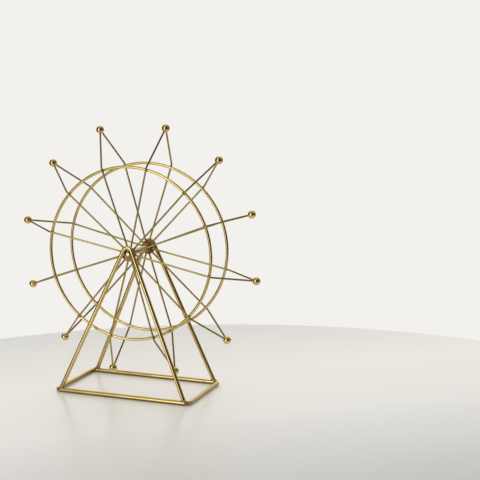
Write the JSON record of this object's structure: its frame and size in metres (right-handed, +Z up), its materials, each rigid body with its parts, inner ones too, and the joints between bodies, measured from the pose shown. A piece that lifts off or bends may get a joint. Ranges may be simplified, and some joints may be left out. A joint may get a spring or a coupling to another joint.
{
  "type": "ferris wheel ornament",
  "caption": "Free-standing table ornament: a wire wheel with ball-tipped spokes that turns by hand on an axle between leaning wire A-frames on a rectangular wire base.",
  "frame": {"origin": "on the surface the base stands on, below the middle of the wheel and of the base", "axes": "+Z up, +Y along the wheel's axle towards the rear, +X to the right when seen from the front"},
  "size_m": [0.2844, 0.0988, 0.2977],
  "materials": {
    "gold_wire": "satin champagne-gold plating over bent steel wire",
    "gold_ball": "polished gold plating over a steel ball",
    "gold_weld": "gold plating over a small uneven weld bead",
    "gold_hub": "semi-gloss gold plating over turned steel",
    "screw_steel": "bright zinc-plated screw",
    "rod_steel": "drawn bright steel rod"
  },
  "bodies": {
    "stand": {"base_frame": "gold_wire", "front_a_frame": "gold_wire", "rear_a_frame": "gold_wire", "foot_welds": "gold_weld", "front_bearing_plate": "gold_hub", "rear_bearing_plate": "gold_hub", "plate_welds": "gold_weld", "axle_rod": "rod_steel", "front_axle_screw": "screw_steel", "rear_axle_screw": "screw_steel"},
    "wheel": {"hub_barrel": "gold_hub", "front_hub_flange": "gold_hub", "rear_hub_flange": "gold_hub", "front_rim": "gold_wire", "rear_rim": "gold_wire", "front_rim_welds": "gold_weld", "rear_rim_welds": "gold_weld", "front_spoke_01": "gold_wire", "front_spoke_02": "gold_wire", "front_spoke_03": "gold_wire", "front_spoke_04": "gold_wire", "front_spoke_05": "gold_wire", "front_spoke_06": "gold_wire", "front_spoke_07": "gold_wire", "front_spoke_08": "gold_wire", "front_spoke_09": "gold_wire", "front_spoke_10": "gold_wire", "front_spoke_11": "gold_wire", "front_spoke_12": "gold_wire", "rear_spoke_01": "gold_wire", "rear_spoke_02": "gold_wire", "rear_spoke_03": "gold_wire", "rear_spoke_04": "gold_wire", "rear_spoke_05": "gold_wire", "rear_spoke_06": "gold_wire", "rear_spoke_07": "gold_wire", "rear_spoke_08": "gold_wire", "rear_spoke_09": "gold_wire", "rear_spoke_10": "gold_wire", "rear_spoke_11": "gold_wire", "rear_spoke_12": "gold_wire", "ball_01": "gold_ball", "ball_02": "gold_ball", "ball_03": "gold_ball", "ball_04": "gold_ball", "ball_05": "gold_ball", "ball_06": "gold_ball", "ball_07": "gold_ball", "ball_08": "gold_ball", "ball_09": "gold_ball", "ball_10": "gold_ball", "ball_11": "gold_ball", "ball_12": "gold_ball"}
  },
  "joints": [
    {"name": "wheel_spin", "type": "hinge", "parent": "stand", "child": "wheel", "pos_m": [0, 0, 0.1568], "axis": [0, 1, 0], "continuous": true}
  ]
}
